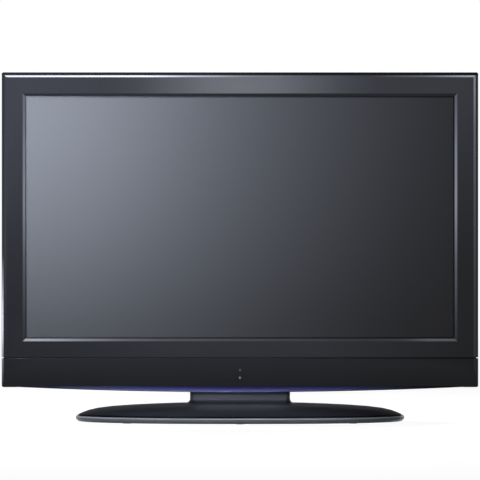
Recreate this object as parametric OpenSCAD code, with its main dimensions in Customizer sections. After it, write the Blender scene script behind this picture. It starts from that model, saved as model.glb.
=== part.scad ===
// Flat-panel television of the 42-inch class on an oval swivel stand.
// Millimetres, +Z up, the picture faces -Y, origin on the floor under the swivel axis.

/* [Picture] */
// Width of the visible picture
screen_w = 930; // [900:1:960]
// Height of the visible picture
screen_h = 523; // [505:1:545]
// How far the panel module reaches past the picture on each side
module_rim = 26.5; // [24:0.5:29]
// Number of backlight lamps
lamp_count = 14; // [8:1:18]
// Radius of a backlight lamp
lamp_r = 2; // [1.5:0.1:3]

/* [Front cabinet] */
// Bezel width left and right of the picture
bezel_side = 55; // [51:0.5:64]
// Bezel height above the picture
bezel_top = 55; // [51:0.5:64]
// Bezel height from the picture down to the seam
bezel_low = 45; // [40:0.5:60]
// Height of the lower front panel below the seam
panel_h = 64; // [60:1:80]
// How far the foot of the lower front panel leans back
panel_lean = 5; // [1:0.5:8]
// Drop of the arched accent strip below the cabinet's corners
arch_drop = 11.5; // [6:0.5:16]
// Height of the cabinet's lower corners above the floor
lift = 77; // [74:1:90]
// Distance of the bezel's face ahead of the swivel axis
face_y = 72; // [70:0.5:76]
// Depth of the front cabinet
front_d = 40; // [37:0.5:43]
// Moulded wall thickness
wall = 3; // [2.5:0.1:3.5]
// Width of the rolled outer edge, seen from the front
edge_roll = 5; // [3.5:0.5:6]
// Width of the flat bevel between the rolled edge and the face
edge_bevel = 6; // [4:0.5:8]
// Slope of the bevel, degrees
bevel_a = 22; // [15:1:30]
// Corner radius of the cabinet seen from the front
corner_r = 5; // [3.5:0.5:8]
// Width of the sloping lip around the picture
lip_w = 5.5; // [2:0.5:7]
// Border of the panel module that shows between the lip and the picture
border = 3; // [1:0.5:5]
// Depth of the lip, from the bezel's face back to the panel module
lip_d = 8; // [6.5:0.5:10]
// Width of the groove at the seam
seam_gap = 2.5; // [1:0.1:3]

/* [Rear cabinet] */
// Depth of the whole head
head_d = 108; // [106:1:120]
// Depth of the rear cover's straight band behind the parting line
band_d = 20; // [18:0.5:24]
// Step of the rear cover inside the front cabinet's outline
rear_step = 2; // [1:0.1:2.5]
// Draw-in of the back plate at the sides and the top
taper = 68; // [55:1:80]
// Wall-mount hole spacing across
vesa_w = 400; // [360:10:420]
// Wall-mount hole spacing up
vesa_h = 400; // [200:10:420]
// Wall-mount hole radius
vesa_r = 3; // [2.5:0.1:4]
// Width of a ventilation slot
vent_w = 4; // [3:0.1:6]
// Pitch of the ventilation slots
vent_pitch = 12; // [9:0.5:16]

/* [Side keys] */
// Length of a key cap
key_l = 16; // [12:0.5:18]
// Width of a key cap
key_w = 8; // [6:0.5:10]
// Pitch of the row of keys
key_pitch = 24; // [24:0.5:28]
// Travel of a key
key_travel = 0.8; // [0.4:0.1:1]

/* [Stand] */
// Width of the base
base_w = 724; // [640:1:800]
// Depth of the base
base_d = 284; // [250:1:300]
// Height of the flat crown of the base
crown_z = 38; // [37:0.5:42]
// Width of the flat crown
crown_w = 260; // [250:1:300]
// Depth of the flat crown
crown_d = 152; // [145:1:170]
// Height of the base's rim
rim_h = 12; // [11:0.5:15]
// Wall thickness of the base's rim
rim_t = 4.5; // [4:0.1:6]
// Groove between the rim and the crown cover
groove = 2; // [1:0.1:3]
// Height of the dark line between the rim and the crown cover
line_h = 2; // [1:0.1:3]
// Height of a rubber foot
foot_h = 1; // [1:0.1:3]
// Radius of a rubber foot
foot_r = 9; // [6:0.5:11]
// Width of the neck
neck_w = 220; // [210:1:230]
// Depth of the neck
neck_d = 48; // [46:0.5:50]
// Radius of the flare at the foot of the neck
flare_r = 10; // [6:0.5:12]
// Width of the steel post
post_w = 160; // [140:1:170]
// Depth of the steel post
post_d = 28; // [24:0.5:30]
// Wall thickness of the steel post
post_t = 3; // [2:0.1:4]
// Radius of the swivel shaft
shaft_r = 14; // [12:0.1:15]
// Swivel to each side, degrees
swivel = 20; // [10:1:25]

/* [Hidden] */
$fn = 48;
// Clearances: running shaft, fitted pieces, keys, neck in the cover, thrust face, lenses
run_gap = 0.05;
fit_gap = 0.3;
key_gap = 0.3;
neck_gap = 1;
thrust_gap = 0.2;
lens_gap = 0.2;
// Overrun of a cut past the face that it opens
cut = 1;
edge_steps = 10;
lean_steps = 8;

// Outer edge of the front: the roll's radius, its centre's depth and the width of roll and bevel
roll_r = edge_roll / (1 - sin(bevel_a));
roll_d = edge_bevel * tan(bevel_a) + roll_r * cos(bevel_a);
edge_w = edge_roll + edge_bevel;

// Levels of the cabinet
z_flat = lift;
z_seam = z_flat + panel_h;
z_open = z_seam + bezel_low;
z_top = z_open + screen_h + bezel_top;
pic_z = z_open + screen_h / 2;
half_w = screen_w / 2 + bezel_side;
y_face = -face_y;
y_part = y_face + front_d;
y_rear = y_face + head_d;

// Panel module, as depths behind the bezel's face
frame_t = 1;
cell_t = 2;
ledge_t = 5;
film_t = 3;
cavity_d = 21;
tray_t = 1;
d_cell = lip_d + frame_t;
d_ledge = d_cell + cell_t;
d_film = d_ledge + ledge_t;
d_holder = d_film + film_t;
d_floor = d_holder + cavity_d;
d_back = d_floor + tray_t;
module_w = screen_w + 2 * module_rim;
module_h = screen_h + 2 * module_rim;
tray_w = module_w - 2 * frame_t - 2 * fit_gap;
tray_h = module_h - 2 * frame_t - 2 * fit_gap;
cell_rim = 10;
ledge_lap = 2;
film_rim = 20;
frame_side = 20;
holder_lap = 3;
lamp_seat = 7;
lamp_gap = 0.2;

// Circuit boards on the back of the module
stud_h = 8;
stud_r = 4;
stud_in = 7;
pcb_t = 1.6;
y_back = y_face + d_back;
y_pcb = y_back + stud_h;
y_parts = y_pcb + pcb_t;
rail_w = 36;
rail_d = 12;
rail_t = 2;
rail_over = 15;
board_gap = 14;
board_x = vesa_w / 2 + rail_w / 2 + board_gap;
main_w = 204;
main_h = 170;
supply_w = 200;
supply_h = 210;
inverter_w = 210;
inverter_h = 60;
timing_w = 220;
timing_h = 52;

// Screws that hold the two halves of the cabinet together
boss_r = 5;
boss_in = 16;
pilot_r = 1.6;
screw_r = 1.4;
screw_head_r = 3;
screw_head_h = 2;
screw_l = 14;
screw_end = 3;
pilot_gap = 2;
well_r = 6;
well_bore = 3.6;
side_screw_z = 205;
top_screw_n = 4;
top_screw_pitch = 266;
low_screw_in = 22;
low_screw_x = board_x + low_screw_in;
corner_screw_in = 46;
flange_d = 26;
seam_screw_n = 6;
seam_screw_pitch = 160;
land_y = 6;

// Accent strip under the lower front panel
strip_lap = 2.5;
strip_end = 34;
strip_half = half_w - strip_end;
strip_d = 32;
strip_nose = 10;
strip_steps = 36;
strip_in = 0.5;
strip_round = 0.8;
low_r = 3;
lip_edge = 4;
lip_t = 8;

// Front lenses over the receiver board
ir_drop = 26;
led_drop = 43;
receiver_drop = 34.5;
ir_z = z_seam - ir_drop;
led_z = z_seam - led_drop;
lens_r = 2.6;
lens_flange = 1.6;
receiver_w = 46;
receiver_h = 40;
receiver_z = z_seam - receiver_drop;
receiver_d = 16;
receiver_stud_x = 17;

// Rear cover: the corner radii and the lower edge
rear_low = z_flat + rear_step;
rear_half = half_w - rear_step;
rear_top = z_top - rear_step;
rear_r = 5;
back_r = 26;
back_edge = 6;

// Terminal bay for signal plugs and mains bay, both open at the back and below
bay_in = 32;
bay_w = 174;
bay_h = 113;
bay_x = [-board_x - bay_in - bay_w, -board_x - bay_in];
bay_top = z_flat + bay_h;
mains_in = 84;
mains_w = 68;
mains_h = 75;
mains_x = [board_x + mains_in, board_x + mains_in + mains_w];
mains_top = z_flat + mains_h;
bay_gap = 2;
bay_y = y_pcb + bay_gap;
plate_t = 1.2;
plate_lap = 4;
z_plate = bay_top + wall;
z_main = z_plate + plate_t + fit_gap;
jack_in = 10.5;
jack_y = y_parts + jack_in;
row_pitch = 14;
window_in = 5;
window_d = 29;
nose_gap = 0.4;
nose_l = 7;

// Speakers beside the neck
speaker_gap = 8;
speaker_in = 17;
speaker_x = neck_w / 2 + neck_gap + speaker_in;
speaker_w = low_screw_x - well_r - speaker_gap - speaker_x;
speaker_h = 64;
speaker_d = 56;
cone_r = 22;
port_gap = 1;
basket_t = 2;
driver_h = 34;

// Side keys on the right edge of the rear cover
key_count = 8;
key_proud = 0.9;
key_flange = 1.5;
key_lip = 1.5;
key_board_t = 1.6;
switch_h = 3.6;
key_y = y_part + band_d / 2;
key_board_d = 15;
key_board_over = 14;
key_board_l = key_count * key_pitch + key_board_over;
key_x = rear_half - wall;
key_board_x = key_x - fit_gap - key_flange - key_travel - fit_gap - switch_h - key_board_t;

// Base and swivel levels
oval_power = 2.45;
oval_n = 80;
ledge_w = 26;
ledge_h = 3.5;
rim_bevel = 2.6;
rim_under = 5;
line_in = 1.2;
plate_h = 4;
foot_x = 245;
z_rim = foot_h + rim_h;
z_dome = z_rim + line_h;
z_ledge = foot_h + ledge_h;
z_steel = z_ledge + plate_h;
dome_power = 4.6;
dome_slope = 0.24;
dome_steps = [0, 0.18, 0.36, 0.53, 0.67, 0.78, 0.87, 0.94, 1];
bush_t = 4;
bush_flange = 6;
housing_t = 8;
housing_r = shaft_r + bush_t + housing_t;
housing_flange = 14;
housing_flange_t = 4;
crown_gap = 1;
crown_hole = housing_r + crown_gap;
z_bush = crown_z + thrust_gap;
z_sole = z_bush + thrust_gap;
z_neck = crown_z + fit_gap;
sole_t = 4;
sole_over = 15;
z_post = z_sole + sole_t;
post_rise = 225;
post_top = z_flat + post_rise;
retainer_t = 3.4;
stop_arm = 9;
stop_half = 14;
stop_gap = 0.5;
notch_gap = 1;
bolt_r = 5;
bolt_head_r = 8;
bolt_head_h = 2;
bolt_l = 22;
neck_r = 10;
neck_t = 2.5;
neck_in = 50;
neck_top = z_flat + neck_in;
web_drop = 8;
web_z = z_flat - web_drop;
bracket_h = 106;
bracket_in = 6;
bracket_top = post_top - bracket_in;
stand_screw_r = 3;
stand_screw_x = 50;
stand_screw_z = 38;
stand_head_r = 6;
stand_head_h = 3.5;

// General shapes

function arc(cx, cy, r, a0, a1, n) =
    [for (i = [0 : n]) let (a = a0 + (a1 - a0) * i / n) [cx + r * cos(a), cy + r * sin(a)]];

// Rounded rectangle as a counter-clockwise list of points
function round_rect(x0, x1, y0, y1, r, n) = concat(
    arc(x1 - r, y1 - r, r, 0, 90, n), arc(x0 + r, y1 - r, r, 90, 180, n),
    arc(x0 + r, y0 + r, r, 180, 270, n), arc(x1 - r, y0 + r, r, 270, 360, n));

function ring_z(points, z) = [for (p = points) [p[0], p[1], z]];
function ring_y(points, y) = [for (i = [len(points) - 1 : -1 : 0]) [points[i][0], y, points[i][1]]];

// Skin over a row of rings with equal point counts, capped at both ends or joined into a loop
module skin(rings, loop = false) {
    n = len(rings[0]);
    m = len(rings);
    last = loop ? m - 1 : m - 2;
    sides = [for (i = [0 : last], j = [0 : n - 1])
        let (a = i * n, b = ((i + 1) % m) * n, k = (j + 1) % n)
        each [[a + j, b + k, a + k], [a + j, b + j, b + k]]];
    caps = loop ? [] : [[for (j = [0 : n - 1]) j], [for (j = [n - 1 : -1 : 0]) (m - 1) * n + j]];
    polyhedron(points = [for (r = rings) each r], faces = concat(sides, caps), convexity = 8);
}

// Extrusions of profiles drawn in (x, z), (y, z) and (x, y)
module along_y(y0, y1) {
    translate([0, y1, 0]) rotate([90, 0, 0]) linear_extrude(y1 - y0) children();
}
module along_x(x0, x1) {
    translate([x0, 0, 0]) rotate([90, 0, 90]) linear_extrude(x1 - x0) children();
}
module along_z(z0, z1) {
    translate([0, 0, z0]) linear_extrude(z1 - z0) children();
}

module block(x0, x1, y0, y1, z0, z1) {
    translate([x0, y0, z0]) cube([x1 - x0, y1 - y0, z1 - z0]);
}

// Round rod along Y
module rod_y(x, y0, y1, z, r) {
    translate([x, y0, z]) rotate([-90, 0, 0]) cylinder(r = r, h = y1 - y0);
}

// Round rod along Z
module rod_z(x, y, z0, z1, r) {
    translate([x, y, z0]) cylinder(r = r, h = z1 - z0);
}

// Plate centred on the picture, between two depths behind the bezel's face
module plate(w, h, d0, d1) {
    block(-w / 2, w / 2, y_face + d0, y_face + d1, pic_z - h / 2, pic_z + h / 2);
}

module frame(w, h, inner_w, inner_h, d0, d1) {
    difference() {
        plate(w, h, d0, d1);
        plate(inner_w, inner_h, d0 - cut, d1 + cut);
    }
}

// Pan-head screw whose head's bearing face lies at the origin, shank along +Z
module screw(r, l, head_r, head_h) {
    cylinder(r = r, h = l);
    translate([0, 0, -head_h]) cylinder(r = head_r, h = head_h);
}

// Swivel base

function oval(a, b) = [for (i = [0 : oval_n - 1])
    let (t = 360 * i / oval_n, c = cos(t), s = sin(t))
    [a * sign(c) * pow(abs(c), 2 / oval_power), b * sign(s) * pow(abs(s), 2 / oval_power)]];
function base_outline(inset) = oval(base_w / 2 - inset, base_d / 2 - inset);
function base_ring(inset, z) = ring_z(base_outline(inset), z);
function base_reach(x) = base_d / 2 * pow(1 - pow(abs(x) / (base_w / 2), oval_power), 1 / oval_power);

cover_in = rim_t + groove;
// Ring of the crown cover's dome, from its lower edge (u = 0) to the flat crown (u = 1)
function dome_ring(u, skin_t) =
    let (k = dome_slope * u + (1 - dome_slope) * pow(u, dome_power),
        a = base_w / 2 - cover_in - (base_w / 2 - cover_in - crown_w / 2) * k,
        b = base_d / 2 - cover_in - (base_d / 2 - cover_in - crown_d / 2) * k)
    ring_z(oval(a - skin_t, b - skin_t), z_dome + (crown_z - z_dome) * u - skin_t);
function hole_ring(z) = [for (i = [0 : oval_n - 1])
    [crown_hole * cos(360 * i / oval_n), crown_hole * sin(360 * i / oval_n), z]];

// Moulded rim, bevelled above and below, with an inner ledge that carries the steel plate
module base_rim() {
    color("#26262c") skin([
        base_ring(rim_under, foot_h),
        base_ring(0, foot_h + rim_under),
        base_ring(0, z_rim - rim_bevel),
        base_ring(rim_bevel, z_rim),
        base_ring(rim_t, z_rim),
        base_ring(rim_t, z_ledge),
        base_ring(ledge_w, z_ledge),
        base_ring(ledge_w, foot_h)], loop = true);
}

// Sector of a ring, centred on the back of the swivel axis
module sector(r, half_angle, z0, z1) {
    translate([0, 0, z0]) rotate([0, 0, 90 - half_angle])
        rotate_extrude(angle = 2 * half_angle) square([r, z1 - z0]);
}

retainer_in = 0.6;
retainer_r = shaft_r + bush_t - retainer_in;
// Steel weight plate; its notch stops the retainer's arm at both ends of the swivel
module base_plate() {
    color("#8c8f94") difference() {
        along_z(z_ledge, z_steel) polygon(base_outline(rim_t + fit_gap));
        rod_z(0, 0, z_ledge - cut, z_steel + cut, retainer_r + notch_gap);
        sector(retainer_r + stop_arm + notch_gap, stop_half + swivel + stop_gap,
            z_ledge - cut, z_steel + cut);
        housing_screw_places() rod_z(0, 0, z_ledge - cut, z_steel + cut, screw_r + fit_gap);
    }
}

// Domed top moulding of the base; its edge overhangs the skirt and leaves the dark line over the rim
module base_cover() {
    skirt_in = cover_in + line_in;
    top = [for (u = dome_steps) dome_ring(u, 0)];
    under = [for (i = [len(dome_steps) - 1 : -1 : 0]) dome_ring(dome_steps[i], wall)];
    color("#26262c") skin(concat(
        [base_ring(skirt_in, z_steel), base_ring(skirt_in, z_dome)], top,
        [hole_ring(crown_z), hole_ring(crown_z - wall)],
        under, [base_ring(skirt_in + wall, z_steel)]), loop = true);
}

// Six rubber feet under the rim's ledge
module rubber_feet() {
    foot_in = (rim_under + ledge_w) / 2;
    color("#1b1b1b") for (x = [-foot_x, 0, foot_x], s = [-1, 1])
        rod_z(x, s * (base_reach(x) - foot_in), 0, foot_h, foot_r);
}

module housing_screw_places() {
    r = housing_r + housing_flange / 2;
    for (a = [0 : 90 : 270]) rotate([0, 0, a + 45]) translate([r, 0, 0]) children();
}

z_housing = crown_z - wall - fit_gap;
bush_r = shaft_r + run_gap + bush_t;
// Flanged steel tube on the weight plate that holds the bush
module swivel_housing() {
    z_flange = z_steel + housing_flange_t;
    color("#9a9da2") difference() {
        union() {
            rod_z(0, 0, z_steel, z_flange, housing_r + housing_flange);
            rod_z(0, 0, z_steel, z_housing, housing_r);
        }
        rod_z(0, 0, z_steel - cut, z_housing + cut, bush_r + run_gap);
        housing_screw_places() rod_z(0, 0, z_steel - cut, z_flange + cut, screw_r + fit_gap);
    }
}

// Acetal bush; its flange carries the weight of the head
module swivel_bush() {
    color("#e8e6dc") difference() {
        union() {
            rod_z(0, 0, z_steel + fit_gap, z_housing, bush_r);
            rod_z(0, 0, z_housing, z_bush, bush_r + bush_flange);
        }
        rod_z(0, 0, z_steel - cut, z_bush + cut, shaft_r + run_gap);
    }
}

module housing_screws() {
    color("#b5b8bd") housing_screw_places()
        translate([0, 0, z_steel + housing_flange_t]) mirror([0, 0, 1])
            screw(screw_r, housing_flange_t + plate_h, screw_head_r, screw_head_h);
}

z_shaft = z_steel - fit_gap;
// Swivel shaft under the post's sole plate
module swivel_shaft() {
    color("#b5b8bd") difference() {
        rod_z(0, 0, z_shaft, z_sole, shaft_r);
        rod_z(0, 0, z_shaft - cut, z_shaft + bolt_l + cut, bolt_r + run_gap);
    }
}

// Washer with a stop arm, bolted under the shaft
module swivel_retainer() {
    z0 = z_shaft - retainer_t;
    color("#8c8f94") difference() {
        union() {
            rod_z(0, 0, z0, z_shaft, retainer_r);
            sector(retainer_r + stop_arm, stop_half, z0, z_shaft);
        }
        rod_z(0, 0, z0 - cut, z_shaft + cut, bolt_r + run_gap);
    }
}

module swivel_bolt() {
    color("#b5b8bd") translate([0, 0, z_shaft - retainer_t])
        screw(bolt_r, retainer_t + bolt_l, bolt_head_r, bolt_head_h);
}

module stand_screw_places() {
    z_mid = bracket_top - bracket_h / 2;
    for (x = [-stand_screw_x, stand_screw_x], z = [z_mid - stand_screw_z, z_mid + stand_screw_z])
        translate([x, 0, z]) children();
}

// Welded steel post: a rectangular tube on a sole plate
module stand_post() {
    sole_w = post_w + 2 * sole_over;
    sole_d = neck_d - 2 * neck_t - 2 * fit_gap;
    color("#55575c") difference() {
        union() {
            block(-sole_w / 2, sole_w / 2, -sole_d / 2, sole_d / 2, z_sole, z_post);
            block(-post_w / 2, post_w / 2, -post_d / 2, post_d / 2, z_post, post_top);
        }
        block(-post_w / 2 + post_t, post_w / 2 - post_t, -post_d / 2 + post_t, post_d / 2 - post_t,
            z_post, post_top + cut);
        stand_screw_places() rod_y(0, -post_d, post_d, 0, stand_screw_r + fit_gap);
    }
}

function neck_ring(grow, z) = ring_z(round_rect(-neck_w / 2 - grow, neck_w / 2 + grow,
    -neck_d / 2 - grow, neck_d / 2 + grow, neck_r + grow, 6), z);

// Moulded sleeve of the neck with a flared foot, steadied on the post by an inner web
module neck_cover() {
    lip = 0.8;
    flare = [for (i = [0 : 6]) let (t = 15 * i)
        neck_ring(flare_r * (1 - sin(t)), z_neck + lip + flare_r * (1 - cos(t)))];
    color("#2c2c33") union() {
        skin(concat([neck_ring(flare_r, z_neck)], flare,
            [neck_ring(0, neck_top), neck_ring(-neck_t, neck_top), neck_ring(-neck_t, z_neck)]),
            loop = true);
        difference() {
            block(-neck_w / 2 + neck_t / 2, neck_w / 2 - neck_t / 2,
                -neck_d / 2 + neck_t / 2, neck_d / 2 - neck_t / 2, web_z, web_z + neck_t);
            block(-post_w / 2 - fit_gap, post_w / 2 + fit_gap, -post_d / 2 - fit_gap,
                post_d / 2 + fit_gap, web_z - cut, web_z + neck_t + cut);
            web_corner();
        }
    }
}

// Cuts the web's corners clear of the sleeve's rounded corners
module web_corner() {
    for (x = [-1, 1], y = [-1, 1]) translate([x * neck_w / 2, y * neck_d / 2, web_z - cut])
        rotate([0, 0, 45]) cube([neck_r, neck_r, 4 * neck_t + 2 * cut], center = true);
}

// Screws through the post into the bracket
module stand_screws() {
    l = post_d + rail_t + screw_end;
    color("#b5b8bd") stand_screw_places() translate([0, post_d / 2, 0]) rotate([90, 0, 0])
        screw(stand_screw_r, l, stand_head_r, stand_head_h);
}

// Front cabinet

// Front of the cabinet at height z: upright above the seam, leaning back below it
function panel_y(z) = y_face + panel_lean * pow(max(0, z_seam - z) / panel_h, 2);
function panel_curve(z_end, inset) = [for (i = [0 : lean_steps])
    let (z = z_seam - (z_seam - z_end) * i / lean_steps) [panel_y(z) + inset, z]];

// Outer edge as [distance in from the outline, depth behind the face]: the roll, then the bevel
function edge_path(inset) = concat(
    [for (i = [0 : edge_steps]) let (a = 90 - (90 - bevel_a) * i / edge_steps)
        [roll_r - (roll_r - inset) * sin(a), roll_d - (roll_r - inset) * cos(a)]],
    [[edge_w + inset * tan(bevel_a / 2), inset]]);
function top_edge(inset) = [for (p = edge_path(inset)) [y_face + p[1], z_top - p[0]]];

module side_profile() {
    polygon(concat(
        top_edge(0),
        panel_curve(z_flat + low_r, 0),
        arc(panel_y(z_flat + low_r) + low_r, z_flat + low_r, low_r, 180, 270, 4),
        [[y_part, z_flat], [y_part, z_top]]));
}

floor_t = wall + strip_lap;
module side_cavity() {
    polygon(concat(
        top_edge(wall),
        panel_curve(z_flat + floor_t, wall),
        [[y_part + cut, z_flat + floor_t], [y_part + cut, z_top - wall]]));
}

module plan_profile(inset, y_end) {
    edge = edge_path(inset);
    polygon(concat(
        [[-half_w + inset, y_end]],
        [for (p = edge) [-half_w + p[0], y_face + p[1]]],
        [for (i = [len(edge) - 1 : -1 : 0]) [half_w - edge[i][0], y_face + edge[i][1]]],
        [[half_w - inset, y_end]]));
}

// Outer form: rolled and bevelled edges that meet in mitres at the corners
module front_block() {
    intersection() {
        along_z(z_flat, z_top) plan_profile(0, y_part);
        along_x(-half_w, half_w) side_profile();
        along_y(y_face, y_part) polygon(round_rect(-half_w, half_w, z_flat, z_top, corner_r, 6));
    }
}

module front_cavity() {
    intersection() {
        along_z(z_flat, z_top) plan_profile(wall, y_part + cut);
        along_x(-half_w, half_w) side_cavity();
    }
}

module front_shell(z0, z1) {
    intersection() {
        difference() {
            front_block();
            front_cavity();
        }
        block(-half_w - cut, half_w + cut, y_face - cut, y_part + cut, z0, z1);
    }
}

// Opening of the picture: sloping sides, then a straight edge at the panel module
module picture_cut() {
    slope_d = lip_d - lip_edge;
    grow = border + lip_w * (1 + cut / slope_d);
    function rect(g, d) = ring_y([
        [screen_w / 2 + g, pic_z + screen_h / 2 + g], [-screen_w / 2 - g, pic_z + screen_h / 2 + g],
        [-screen_w / 2 - g, pic_z - screen_h / 2 - g], [screen_w / 2 + g, pic_z - screen_h / 2 - g]],
        y_face + d);
    skin([rect(grow, -cut), rect(border, slope_d), rect(border, lip_d + cut)]);
}

// Places of the cabinet screws, as [x, z]: sides and top in the bezel, foot in the lower panel
bezel_screws = concat(
    [for (x = [-1, 1], z = [-1, 1]) [x * (half_w - boss_in), pic_z + z * side_screw_z]],
    [for (i = [0 : top_screw_n - 1]) [(i - (top_screw_n - 1) / 2) * top_screw_pitch, z_top - boss_in]]);
panel_screws = [for (s = [-1, 1], x = [low_screw_x, half_w - corner_screw_in])
    [s * x, z_flat + boss_in + rear_step]];

module boss(p, y0) {
    rod_y(p[0], y0, y_part, p[1], boss_r);
}
module pilot(p) {
    rod_y(p[0], y_part - screw_l, y_part + cut, p[1], pilot_r);
}

seam_screws_y = y_face + land_y + (flange_d - land_y) / 2;
module seam_screw_places() {
    for (i = [0 : seam_screw_n - 1])
        translate([(i - (seam_screw_n - 1) / 2) * seam_screw_pitch, seam_screws_y, 0]) children();
}
seam_span = half_w - edge_w;

// Gloss frame round the picture, open at the back
module front_bezel() {
    z0 = z_seam + seam_gap / 2;
    lip_out = border + lip_w + lip_t;
    color("#34343c") difference() {
        union() {
            front_shell(z0, z_top);
            frame(screen_w + 2 * lip_out, screen_h + 2 * lip_out, screen_w, screen_h, wall / 2, lip_d);
            block(-seam_span, seam_span, y_face + wall / 2, y_face + flange_d, z0, z0 + wall);
            for (p = bezel_screws) boss(p, y_face + wall / 2);
        }
        picture_cut();
        for (p = bezel_screws) pilot(p);
        seam_screw_places() rod_z(0, 0, z0 - cut, z0 + wall + cut, screw_r + fit_gap);
    }
}

// Panel under the seam: it leans back, and its land meets the bezel's flange behind the groove
module lower_panel() {
    z1 = z_seam - seam_gap / 2;
    z2 = z_seam + seam_gap / 2;
    lens_hole = lens_r + lens_gap;
    color("#2c2c33") difference() {
        union() {
            front_shell(z_flat, z1);
            block(-seam_span, seam_span, y_face + wall / 2, y_face + flange_d, z1 - wall, z1);
            block(-seam_span, seam_span, y_face + land_y, y_face + flange_d, z1 - wall, z2);
            for (p = panel_screws) boss(p, panel_y(p[1]) + wall / 2);
            for (s = [-1, 1]) rod_y(s * receiver_stud_x, panel_y(receiver_z) + wall / 2,
                y_face + receiver_d, receiver_z, boss_r);
        }
        block(-strip_half - fit_gap, strip_half + fit_gap, y_face - cut, y_part + cut,
            z_flat - cut, z_flat + strip_lap);
        for (p = panel_screws) pilot(p);
        for (z = [ir_z, led_z]) rod_y(0, y_face - cut, y_face + receiver_d - cut, z, lens_hole);
        seam_screw_places() rod_z(0, 0, z1 - wall - cut, z2 + cut, screw_r + fit_gap);
    }
}

// Lower edge of the accent strip: a shallow arch between the cabinet's corners
function arch_z(x) = z_flat - arch_drop * max(0, 1 - pow(x / strip_half, 2));
function strip_ring(x) =
    let (top = z_flat + strip_lap, low = arch_z(x), h = strip_round * (top - low),
        y0 = panel_y(z_flat + low_r) + strip_in, y1 = y_face + strip_d)
    concat([[x, y1, low], [x, y1, top], [x, y0, top]],
        [for (t = [0 : 15 : 90]) [x, y0 + strip_nose * (1 - cos(t)), low + h * (1 - sin(t))]]);

// Tinted arched strip along the foot of the front
module accent_strip() {
    color("#4a4c86") skin([for (i = [0 : strip_steps])
        strip_ring(strip_half * (2 * i / strip_steps - 1))]);
}

// Light pipe from the panel's face back to the receiver board
module light_pipe(z) {
    proud = 0.4;
    y0 = panel_y(z) + wall + cut;
    rod_y(0, panel_y(z) - proud, y_face + receiver_d, z, lens_r);
    rod_y(0, y0, y_face + receiver_d, z, lens_r + lens_flange);
}
module receiver_lens() {
    color("#3a2226") light_pipe(ir_z);
}
module indicator_lens() {
    color("#9a9aa2") light_pipe(led_z);
}

// Receiver board on two studs of the lower panel
module receiver_board() {
    y0 = y_face + receiver_d;
    // Components as [x, z, width, height, depth]; the capacitor as [x, z, radius, depth]
    plug = [0, -11, 12, 6, 5];
    chip = [-9, 8, 10, 8, 1.5];
    can = [10, 8, 3, 7];
    color("#2f6b43") union() {
        block(-receiver_w / 2, receiver_w / 2, y0, y0 + pcb_t,
            receiver_z - receiver_h / 2, receiver_z + receiver_h / 2);
        for (c = [plug, chip]) block(c[0] - c[2] / 2, c[0] + c[2] / 2, y0 + pcb_t, y0 + pcb_t + c[4],
            receiver_z + c[1] - c[3] / 2, receiver_z + c[1] + c[3] / 2);
        rod_y(can[0], y0 + pcb_t, y0 + pcb_t + can[3], receiver_z + can[1], can[2]);
    }
}

module seam_screws() {
    z_head = z_seam - seam_gap / 2 - wall;
    color("#b5b8bd") seam_screw_places() translate([0, 0, z_head])
        screw(screw_r, 2 * wall + seam_gap + screw_end, screw_head_r, screw_head_h);
}

// Panel module

// Front glass with its polarisers
module lcd_cell() {
    color("#17171d") plate(screen_w + 2 * cell_rim, screen_h + 2 * cell_rim, d_cell, d_ledge);
}

// Pressed steel frame over the edge of the glass
module lcd_front_frame() {
    color("#77797e") union() {
        frame(module_w, module_h, screen_w, screen_h, lip_d, d_cell);
        frame(module_w, module_h, module_w - 2 * frame_t, module_h - 2 * frame_t,
            lip_d, lip_d + frame_side);
    }
}

// Moulded frame between the glass and the film
module lcd_mid_frame() {
    cell_pocket = cell_rim + fit_gap;
    color("#e4e4e0") union() {
        frame(tray_w, tray_h, screen_w + 2 * cell_pocket, screen_h + 2 * cell_pocket, d_cell, d_film);
        frame(screen_w + 2 * cell_pocket + 2 * cut, screen_h + 2 * cell_pocket + 2 * cut,
            screen_w + 2 * ledge_lap, screen_h + 2 * ledge_lap, d_ledge, d_film);
    }
}

// Diffuser plate and optical films
module film_stack() {
    color("#f2f2ec") plate(screen_w + 2 * film_rim, screen_h + 2 * film_rim, d_film, d_holder);
}

lamp_y = y_face + d_holder + cavity_d / 2;
lamp_pitch = screen_h / lamp_count;
function lamp_z(i) = pic_z + (i - (lamp_count - 1) / 2) * lamp_pitch;
lamp_half = screen_w / 2 + holder_lap + lamp_seat - fit_gap;

// Cold-cathode lamps
module lamps() {
    color("#fbfbf4") for (i = [0 : lamp_count - 1])
        translate([-lamp_half, lamp_y, lamp_z(i)]) rotate([0, 90, 0])
            cylinder(r = lamp_r, h = 2 * lamp_half);
}

// Moulded holders at both ends of the lamps
module lamp_holders() {
    x0 = screen_w / 2 + holder_lap;
    x1 = tray_w / 2 - tray_t - fit_gap;
    h = tray_h / 2 - tray_t - fit_gap;
    color("#e4e4e0") for (s = [-1, 1]) difference() {
        block(min(s * x0, s * x1), max(s * x0, s * x1), y_face + d_holder, y_face + d_floor,
            pic_z - h, pic_z + h);
        for (i = [0 : lamp_count - 1]) translate([s * (x0 + lamp_seat), lamp_y, lamp_z(i)])
            rotate([0, -90 * s, 0]) cylinder(r = lamp_r + lamp_gap, h = lamp_seat + cut);
    }
}

// Corners of the boards, as [x, z] of the lower left corner, width and height
main_gap = 2;
supply_gap = 26;
inverter_gap = 40;
timing_gap = 14;
supply_z = mains_top + wall + supply_gap;
inverter_z = supply_z + supply_h + inverter_gap;
timing_z = post_top + timing_gap;
boards = [[-board_x - main_w, z_main + main_gap, main_w, main_h], [board_x, supply_z, supply_w, supply_h],
    [board_x, inverter_z, inverter_w, inverter_h], [-timing_w / 2, timing_z, timing_w, timing_h]];
function board_studs(b) = [for (x = [stud_in, b[2] - stud_in], z = [stud_in, b[3] - stud_in])
    [b[0] + x, b[1] + z]];

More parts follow.
